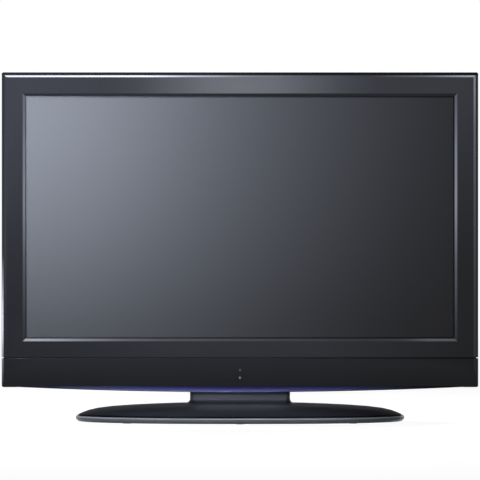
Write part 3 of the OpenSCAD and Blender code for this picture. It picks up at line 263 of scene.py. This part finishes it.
def coated(name, color, rough, level=0.45):
    """Powder coat: fine orange peel with a few lighter specks."""
    s = Shader(name, Specular_IOR_Level=level)
    peel = s.noise(900.0, 2.0)
    specks = s.spread(s.noise(2600.0, 1.0), 0.68, 0.78, 0.0, 1.0)
    s.color(s.mix(specks, color, shade(color, 2.0)))
    s.rough(s.vary(peel, rough - 0.07, rough + 0.07))
    s.bump(peel, 0.2, 0.15 * MM)
    return s.mat


def moulded(name, color, rough):
    """Plain satin moulding with soft flow clouds and a fine matt grain."""
    s = Shader(name, Specular_IOR_Level=0.4)
    cloud = s.noise(30.0, 3.0)
    fine = s.noise(1400.0, 2.0)
    s.color(s.mix(cloud, shade(color, 0.9), shade(color, 1.06)))
    s.rough(s.vary(fine, rough - 0.05, rough + 0.05))
    s.bump(fine, 0.08, 0.08 * MM)
    return s.mat


def accent(name):
    """Dark violet strip with painted light: a pale painted glow along its lower edge, as if lit from below,
    which fades upwards and towards its thin ends.
    """
    s = Shader(name, Specular_IOR_Level=0.01)
    across = s.math("ABSOLUTE", s.axis("X"))
    ends = s.spread(across, 0.06, 0.85 * strip_high.x, 1.0, 0.0)
    arch = s.math("MULTIPLY", s.math("POWER", across, 2.0), STRIP_RISE)
    above = s.math("SUBTRACT", s.axis("Z"), arch)
    up = s.spread(above, strip_low.z, strip_low.z + STRIP_LIGHT_FADE, 0.0, 1.0)
    # Painted light: the pale stops paint the strip's lower edge as if lit from below; the strip's own colour
    # is the dark violet of the upper stops
    painted_underlight = s.ramp(up, [(0.0, (0.42, 0.43, 0.63)), (0.2, (0.095, 0.1, 0.25)), (0.4, (0.044, 0.045, 0.135)),
                       (0.55, (0.022, 0.022, 0.072)), (0.7, (0.01, 0.01, 0.028)), (1.0, (0.012, 0.011, 0.02))])
    fleck = s.noise(60.0, 3.0)
    deep = s.mix(fleck, (0.011, 0.011, 0.02), (0.015, 0.014, 0.028))
    s.color(s.mix(ends, deep, painted_underlight))
    s.rough(s.vary(fleck, 0.2, 0.28))
    s.bump(s.noise(160.0, 1.0), 0.015, 0.2 * MM)
    return s.mat


def screen(name):
    """Front polariser with an anti-glare haze: a matt dark sheet with a faint fine sparkle."""
    s = Shader(name, Specular_IOR_Level=0.2)
    sparkle = s.noise(1500.0, 2.0)
    veil = s.noise(3.0, 2.0)
    s.color(s.mix(veil, (0.003, 0.003, 0.004), (0.004, 0.004, 0.0055)))
    s.rough(s.vary(sparkle, 0.475, 0.525))
    s.bump(sparkle, 0.02, 0.03 * MM)
    return s.mat


def lens(name, color, rough):
    """Tinted light pipe with a frosted heart."""
    s = Shader(name, Specular_IOR_Level=0.12)
    heart = s.noise(700.0, 2.0)
    s.color(s.mix(heart, shade(color, 0.75), shade(color, 1.2)))
    s.rough(s.vary(heart, rough, rough + 0.12))
    s.bump(heart, 0.03, 0.05 * MM)
    return s.mat


def rubber(name):
    """Grey rubber with a dusty bloom."""
    s = Shader(name, Specular_IOR_Level=0.3)
    fine = s.noise(1100.0, 3.0)
    dust = s.noise(120.0, 3.0)
    s.color(s.mix(dust, (0.3, 0.3, 0.3), (0.36, 0.36, 0.355)))
    s.rough(s.vary(fine, 0.72, 0.88))
    s.bump(fine, 0.2, 0.1 * MM)
    return s.mat


def circuit(name, node, board, trace, parts):
    """Circuit board: solder mask with tracks and pads; whatever stands on it takes its own colours."""
    s = Shader(name, Specular_IOR_Level=0.4)
    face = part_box(node)[0].y + BOARD
    tracks = s.math("MAXIMUM", s.bands("X", 2.4 * MM, 1.5), s.bands("Z", 3.1 * MM, 1.5))
    tracks = s.spread(tracks, 0.9, 0.96, 0.0, 1.0)
    tracks = s.math("MULTIPLY", tracks, s.spread(s.noise(45.0, 2.0), 0.48, 0.54, 0.0, 1.0))
    pads = s.spread(s.cells(240.0), 0.16, 0.12, 0.0, 1.0)
    mask = s.mix(s.noise(40.0, 3.0), shade(board, 0.85), shade(board, 1.15))
    mask = s.mix(tracks, mask, trace)
    mask = s.mix(pads, mask, (0.55, 0.55, 0.5))
    above = s.spread(s.axis("Y"), face, face + 0.1 * MM, 0.0, 1.0)
    rise = s.spread(s.axis("Y"), face, face + TALLEST, 0.0, 1.0)
    body = s.ramp(rise, parts, constant=True)
    body = s.mix(s.noise(300.0, 2.0), body, (0.05, 0.05, 0.055))
    s.color(s.mix(above, mask, body))
    s.rough(s.vary(s.noise(80.0, 3.0), 0.35, 0.5))
    s.bump(tracks, 0.15, 0.05 * MM)
    return s.mat


def ribbon(name):
    """Flat film cable: parallel conductors in a white film."""
    s = Shader(name, Specular_IOR_Level=0.45)
    wires = s.bands("Z", 1.0 * MM)
    s.color(s.mix(wires, (0.78, 0.78, 0.75), (0.55, 0.55, 0.56)))
    s.rough(s.vary(s.noise(200.0, 2.0), 0.35, 0.45))
    s.bump(wires, 0.15, 0.1 * MM)
    return s.mat


def jacks(name):
    """Black jack block; the sleeves below the plate are coloured in columns, as such rows are."""
    s = Shader(name, Specular_IOR_Level=0.45)
    low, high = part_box("av_jacks")
    plate_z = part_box("jack_plate")[0].z
    column = s.spread(s.axis("X"), low.x, high.x, 0.0, 1.0)
    sleeve = s.ramp(column, [(0.0, (0.75, 0.55, 0.03)), (0.25, (0.7, 0.7, 0.68)), (0.5, (0.5, 0.03, 0.03)),
                             (0.75, (0.04, 0.3, 0.08))], constant=True)
    below = s.spread(s.axis("Z"), plate_z, plate_z - 0.1 * MM, 0.0, 1.0)
    grain = s.noise(500.0, 2.0)
    block = s.mix(grain, (0.018, 0.018, 0.019), (0.03, 0.03, 0.032))
    s.color(s.mix(below, block, sleeve))
    s.rough(s.vary(grain, 0.38, 0.5))
    s.bump(grain, 0.08, 0.08 * MM)
    return s.mat


def tapped(name, color):
    """Turned steel boss: lathe rings outside and a fine thread in its bore."""
    s = Shader(name, Metallic=1.0)
    turns = s.bands("Y", 1.0 * MM)
    patch = s.noise(200.0, 3.0)
    s.color(s.mix(patch, shade(color, 0.85), shade(color, 1.05)))
    s.rough(s.vary(patch, 0.28, 0.42))
    s.bump(turns, 0.3, 0.2 * MM)
    return s.mat


def key_cap(name):
    """Satin cap, a little polished by touch."""
    s = Shader(name, Specular_IOR_Level=0.45)
    fine = s.noise(1600.0, 2.0)
    touch = s.noise(160.0, 2.0)
    s.color(s.mix(touch, (0.075, 0.075, 0.082), (0.1, 0.1, 0.11)))
    s.rough(s.vary(touch, 0.3, 0.42))
    s.bump(fine, 0.06, 0.06 * MM)
    return s.mat


def cone(name):
    """Speaker driver: black paper with loose fibres."""
    s = Shader(name, Specular_IOR_Level=0.3)
    fibre = s.noise(900.0, 4.0, 0.65)
    s.color(s.mix(fibre, (0.02, 0.02, 0.021), (0.05, 0.05, 0.05)))
    s.rough(s.vary(fibre, 0.6, 0.8))
    s.bump(fibre, 0.25, 0.2 * MM)
    return s.mat


# Solder masks and tracks, and the colours of components by their height over the board
GREEN = (0.025, 0.13, 0.045)
GREEN_TRACK = (0.05, 0.24, 0.09)
BROWN = (0.3, 0.19, 0.075)
BROWN_TRACK = (0.4, 0.27, 0.12)
CHIPS = [(0.0, (0.02, 0.02, 0.022)), (0.12, (0.45, 0.45, 0.46)), (0.3, (0.03, 0.03, 0.034)),
         (0.42, (0.6, 0.61, 0.62))]
POWER = [(0.0, (0.5, 0.5, 0.5)), (0.2, (0.03, 0.03, 0.05)), (0.55, (0.3, 0.22, 0.05)),
         (0.75, (0.58, 0.59, 0.6)), (0.9, (0.04, 0.04, 0.1))]


def dress():
    zinc = plated("zinc_steel", (0.56, 0.57, 0.58), 0.36)
    screws = plated("screw_zinc", (0.6, 0.61, 0.62), 0.28, 400.0)
    nickel = plated("nickel_shell", (0.66, 0.65, 0.62), 0.22, 300.0)
    white = moulded("white_moulding", (0.8, 0.8, 0.78), 0.45)
    black = moulded("black_moulding", (0.022, 0.022, 0.024), 0.42)
    keys = key_cap("key_satin")
    wearing = {
        # Front
        "front_bezel": gloss("bezel_gloss", (0.0025, 0.0025, 0.0034), 0.065, 0.21, crown=ROLL_Z),
        "lower_panel": gloss("panel_gloss", (0.003, 0.003, 0.004), 0.14, 0.165, crown=LAND_Z),
        "accent_strip": accent("accent_violet"),
        "receiver_lens": lens("lens_dark", (0.05, 0.043, 0.047), 0.12),
        "indicator_lens": lens("lens_grey", (0.13, 0.13, 0.135), 0.2),
        # Panel module
        "lcd_cell": screen("screen_glass"),
        "lcd_front_frame": coated("frame_black", (0.002, 0.002, 0.0024), 0.3, 0.08),
        "lcd_mid_frame": white,
        "film_stack": moulded("film_white", (0.85, 0.85, 0.84), 0.6),
        "lamps": moulded("lamp_phosphor", (0.88, 0.88, 0.84), 0.2),
        "lamp_holders": white,
        "backlight_tray": zinc,
        # Stand
        # Neck: its flared foot is painted darker, a painted shade in the crease over the base
        "neck_cover": gloss("neck_gloss", (0.016, 0.0165, 0.0185), 0.45, 0.1,
                            foot=(FLARE_SHADE_Z, (0.007, 0.007, 0.009))),
        # Base cover: the skirt under the dome is painted near black, a painted shadow line over the rim
        "base_cover": gloss("base_gloss", (0.022, 0.0223, 0.0262), 0.6, 0.01,
                            foot=(SHADOW_LINE_Z, (0.002, 0.002, 0.0025))),
        # Rim: the light grey along its upper edge is a painted highlight over the darker grey below
        "base_rim": gloss("rim_gloss", (0.31, 0.312, 0.318), 0.25, 0.15,
                          foot=(RIM_HIGHLIGHT_Z, (0.08, 0.081, 0.084))),
        "base_plate": zinc,
        "rubber_feet": rubber("foot_rubber"),
        "swivel_housing": zinc,
        "swivel_bush": moulded("acetal", (0.78, 0.77, 0.72), 0.35),
        "housing_screws": screws,
        "swivel_shaft": screws,
        "swivel_retainer": zinc,
        "swivel_bolt": screws,
        "stand_post": coated("black_steel", (0.03, 0.03, 0.032), 0.45),
        "stand_screws": screws,
        "stand_bracket": zinc,
        # Electronics
        "receiver_board": circuit("receiver_circuit", "receiver_board", GREEN, GREEN_TRACK, CHIPS),
        "main_board": circuit("main_circuit", "main_board", GREEN, GREEN_TRACK, CHIPS),
        "timing_board": circuit("timing_circuit", "timing_board", GREEN, GREEN_TRACK, CHIPS),
        "inverter_board": circuit("inverter_circuit", "inverter_board", GREEN, GREEN_TRACK, POWER),
        "supply_board": circuit("supply_circuit", "supply_board", BROWN, BROWN_TRACK, POWER),
        "key_board": circuit("key_circuit", "key_board", GREEN, GREEN_TRACK, CHIPS),
        "key_switches": black,
        "panel_cable": ribbon("cable_film"),
        # Terminals and sound
        "jack_plate": zinc,
        "hdmi_sockets": nickel,
        "antenna_socket": nickel,
        "av_jacks": jacks("jack_colours"),
        "vga_socket": moulded("socket_blue", (0.02, 0.04, 0.26), 0.4),
        "mains_inlet": black,
        "speaker_box_left": black,
        "speaker_box_right": black,
        "speaker_drivers": cone("driver_paper"),
        # Back
        "mount_rails": zinc,
        "mount_bosses": tapped("boss_steel", (0.55, 0.56, 0.57)),
        "rear_cover": grained("rear_grain", (0.034, 0.034, 0.036), 0.55, 0.9 * MM, 0.2 * MM),
        "rear_screws": coated("screw_black", (0.03, 0.03, 0.032), 0.35),
        "seam_screws": screws,
    }
    for name, obj in nodes.items():
        obj.data.materials.clear()
        obj.data.materials.append(keys if name.startswith("key_") and name not in wearing else wearing[name])


# Studio

WHITE = (1.0, 1.0, 1.0)
PALE = (0.88, 0.92, 1.0)
COOL = (0.8, 0.83, 1.0)
KEY_BLUE = (0.78, 0.86, 1.0)
ROOM_COLOR = (0.9, 0.93, 1.0)
ROOM = 0.05            # strength of the room's light on matt surfaces
FLOOR_SIZE = 5.0       # half of its side
FLOOR_GREY = 0.3
FLOOR_WHITE = 0.93     # what the floor adds where it is seen


def background_rays(tree):
    """1 for camera, glossy and transmission rays, which see the white background; 0 for the rest."""
    path = tree.nodes.new("ShaderNodeLightPath")
    seen = path.outputs["Is Camera Ray"]
    for kind in ("Is Transmission Ray", "Is Glossy Ray"):
        either = tree.nodes.new("ShaderNodeMath")
        either.operation = "MAXIMUM"
        tree.links.new(seen, either.inputs[0])
        tree.links.new(path.outputs[kind], either.inputs[1])
        seen = either.outputs[0]
    return seen


def make_world():
    """White where it is seen or mirrored; a dim room for the light on matt surfaces."""
    world = bpy.data.worlds.new("studio")
    bpy.context.scene.world = world
    world.use_nodes = True
    tree = world.node_tree
    tree.nodes.clear()
    out = tree.nodes.new("ShaderNodeOutputWorld")
    mix = tree.nodes.new("ShaderNodeMixShader")
    tree.links.new(background_rays(tree), mix.inputs[0])
    for index, color, strength in ((1, ROOM_COLOR, ROOM), (2, WHITE, 1.0)):
        light = tree.nodes.new("ShaderNodeBackground")
        light.inputs["Color"].default_value = (*color, 1.0)
        light.inputs["Strength"].default_value = strength
        tree.links.new(light.outputs[0], mix.inputs[index])
    tree.links.new(mix.outputs[0], out.inputs[0])


def make_floor():
    """Matt floor that keeps the shadow, and is white where it is seen or mirrored."""
    mesh = bpy.data.meshes.new("floor")
    corners = [(x * FLOOR_SIZE, y * FLOOR_SIZE, 0.0) for x, y in ((-1, -1), (1, -1), (1, 1), (-1, 1))]
    mesh.from_pydata(corners, [], [(0, 1, 2, 3)])
    floor = bpy.data.objects.new("floor", mesh)
    bpy.context.scene.collection.objects.link(floor)
    mat = bpy.data.materials.new("floor_pale")
    mat.use_nodes = True
    tree = mat.node_tree
    matt = tree.nodes["Principled BSDF"]
    matt.inputs["Base Color"].default_value = (FLOOR_GREY, FLOOR_GREY, FLOOR_GREY, 1.0)
    matt.inputs["Roughness"].default_value = 0.9
    matt.inputs["Specular IOR Level"].default_value = 0.0
    scale = tree.nodes.new("ShaderNodeMath")
    scale.operation = "MULTIPLY"
    scale.inputs[1].default_value = FLOOR_WHITE
    tree.links.new(background_rays(tree), scale.inputs[0])
    glow = tree.nodes.new("ShaderNodeEmission")
    tree.links.new(scale.outputs[0], glow.inputs["Strength"])
    add = tree.nodes.new("ShaderNodeAddShader")
    tree.links.new(matt.outputs[0], add.inputs[0])
    tree.links.new(glow.outputs[0], add.inputs[1])
    tree.links.new(add.outputs[0], tree.nodes["Material Output"].inputs[0])
    mesh.materials.append(mat)


def area_light(name, at, to, size, radiance, color=WHITE, spread=180, glow=None, along="X"):
    """Rectangular softbox that faces a point; the radiance is the one along its axis. A glow gives its
    strength from one end to the other, as stops of place and share."""
    half = math.radians(spread) / 2
    focus = 1.0 if spread >= 180 else 1.0 - half / math.tan(half)
    data = bpy.data.lights.new(name, "AREA")
    data.shape = "RECTANGLE"
    data.size, data.size_y = size
    data.energy = radiance * math.pi * size[0] * size[1] * focus
    data.color = color
    data.spread = math.radians(spread)
    if glow:
        data.use_nodes = True
        tree = data.node_tree
        place = tree.nodes.new("ShaderNodeNewGeometry").outputs["Parametric"]
        split = tree.nodes.new("ShaderNodeSeparateXYZ")
        tree.links.new(place, split.inputs[0])
        ramp = tree.nodes.new("ShaderNodeValToRGB")
        tree.links.new(split.outputs[along], ramp.inputs["Fac"])
        stops = ramp.color_ramp.elements
        while len(stops) < len(glow):
            stops.new(0.5)
        for stop, (where, share) in zip(stops, glow):
            stop.position = where
            stop.color = (share, share, share, 1.0)
        tree.links.new(ramp.outputs["Color"], tree.nodes["Emission"].inputs["Strength"])
    light = bpy.data.objects.new(name, data)
    light.location = at
    light.rotation_euler = (Vector(to) - Vector(at)).to_track_quat("-Z", "Y").to_euler()
    light.visible_camera = False
    bpy.context.scene.collection.objects.link(light)


def make_lights():
    # Gridded key for the screen's haze, from the left
    area_light("key", at=(-1.14, -2.6, 0.69), to=(-0.38, FACE_Y, 0.79), size=(0.4, 0.4),
               radiance=1210.0, color=KEY_BLUE, spread=36)
    # Bar over the front that the bevel along the top shows, brightest at its left
    area_light("top_bar", at=(-0.3, FACE_Y - 0.91, TOP_Z + 0.98), to=(-0.3, FACE_Y, TOP_Z), size=(2.2, 0.2),
               radiance=96.0, color=PALE, spread=30,
               glow=[(0.0, 1.0), (0.52, 0.95), (0.57, 0.46), (0.64, 0.165), (0.72, 0.06), (0.79, 0.02),
                     (0.86, 0.1), (0.91, 0.33), (1.0, 0.4)])
    # Card for the glow in the middle of the upper bezel
    area_light("card", at=(0.0, -1.57, 0.8125), to=(0.0, FACE_Y, 0.74), size=(0.72, 0.08),
               radiance=8.4, color=PALE,
               glow=[(0.0, 0.0), (0.12, 0.13), (0.25, 0.5), (0.38, 0.88), (0.5, 1.0), (0.62, 0.88),
                     (0.75, 0.52), (0.88, 0.18), (1.0, 0.02)])
    # Tall card far in front, for the bezel's sides, which grow lighter upwards
    area_light("front_card", at=(0.0, -5.5, 0.56), to=(0.0, FACE_Y, 0.56), size=(2.0, 1.12),
               radiance=2.0, color=COOL, along="Y",
               glow=[(0.0, 0.0), (0.32, 0.12), (0.64, 0.5), (0.93, 1.0)])
    # Cards low in front and on the floor, for the lower bezel and the panel under it
    area_light("low_card", at=(0.0, -3.0, 0.075), to=(0.0, FACE_Y, 0.075), size=(1.5, 0.14),
               radiance=1.1, color=COOL,
               glow=[(0.0, 0.3), (0.15, 0.45), (0.33, 1.0), (0.66, 1.0), (0.85, 0.4), (1.0, 0.0)])
    area_light("floor_card", at=(0.0, -1.35, 0.003), to=(0.0, -1.35, 1.0), size=(1.12, 2.1),
               radiance=0.5, color=COOL, along="Y",
               glow=[(0.0, 1.0), (0.476, 1.0), (0.686, 0.95), (1.0, 0.0)])
    # Lights that the slopes round the picture show
    for s, side, radiance in ((1, "right", 12.6), (-1, "left", 15.2)):
        area_light("lip_" + side, at=(s * 1.4, -0.83, 0.475), to=(-s * 0.47, FACE_Y, 0.475), size=(0.2, 0.75),
                   radiance=radiance, color=COOL, spread=30, along="Y",
                   glow=[(0.0, 0.06), (0.09, 0.12), (0.32, 0.36), (0.55, 1.0), (0.74, 0.87), (0.9, 0.52),
                         (1.0, 0.4)])
    area_light("low_lip", at=(-0.02, FACE_Y - 0.43, 1.35), to=(-0.02, FACE_Y + 0.1, 0.18), size=(1.28, 0.15),
               radiance=60.0, color=PALE, spread=19,
               glow=[(0.0, 1.0), (0.1, 1.0), (0.19, 0.48), (0.27, 0.23), (0.36, 0.13), (0.52, 0.08),
                     (0.76, 0.04), (0.85, 0.06), (0.9, 0.2), (1.0, 0.2)])
    # Lights for the cabinet's outer edges
    area_light("right_edge", at=(1.29, -0.76, 0.5), to=(HALF_W, FACE_Y, 0.5), size=(0.15, 1.0),
               radiance=15.5, color=COOL, spread=50, along="Y",
               glow=[(0.0, 0.06), (0.25, 0.11), (0.5, 0.27), (0.68, 0.5), (0.8, 1.0), (1.0, 1.0)])
    area_light("left_edge", at=(-1.29, -0.76, 0.5), to=(-HALF_W, FACE_Y, 0.5), size=(0.15, 1.0),
               radiance=2.2, color=COOL, spread=50, along="Y",
               glow=[(0.0, 0.1), (0.12, 0.18), (0.37, 0.67), (0.6, 1.0), (1.0, 1.0)])
    area_light("left_roll", at=(-1.5, -0.2, 0.2), to=(-HALF_W, FACE_Y, 0.32), size=(0.5, 0.3),
               radiance=180.0, color=PALE, spread=32, along="Y",
               glow=[(0.0, 0.0), (0.25, 0.5), (0.42, 1.0), (0.55, 0.9), (0.75, 0.5), (1.0, 0.1)])
    # Low fill for the stand and the strip, and a light under the cabinet for the dome beside the neck
    area_light("low_fill", at=(0.0, -3.0, 0.78), to=(0.0, -0.1, 0.045), size=(1.0, 0.15),
               radiance=1650.0, color=COOL, spread=5,
               glow=[(0.0, 0.0), (0.14, 0.0), (0.22, 0.25), (0.32, 0.85), (0.5, 0.9), (0.68, 1.0), (0.76, 0.5),
                     (0.84, 0.0), (1.0, 0.0)])
    area_light("under_bar", at=(0.0, -0.06, UNDER_Z), to=(0.0, -0.06, 0.0), size=(0.2, 0.1),
               radiance=1.6, color=COOL)
    # Softboxes behind and above, for the back
    area_light("back_left", at=(-1.8, 1.35, 2.7), to=(-0.15, 0.05, 0.4), size=(1.2, 1.2),
               radiance=10.0, color=PALE, spread=44)
    area_light("back_right", at=(1.8, 1.35, 2.7), to=(0.15, 0.05, 0.4), size=(1.2, 1.2),
               radiance=16.0, spread=44)


bpy.context.scene.view_settings.view_transform = "Standard"
make_camera()
make_world()
make_floor()
smooth_nodes()
dress()
make_lights()
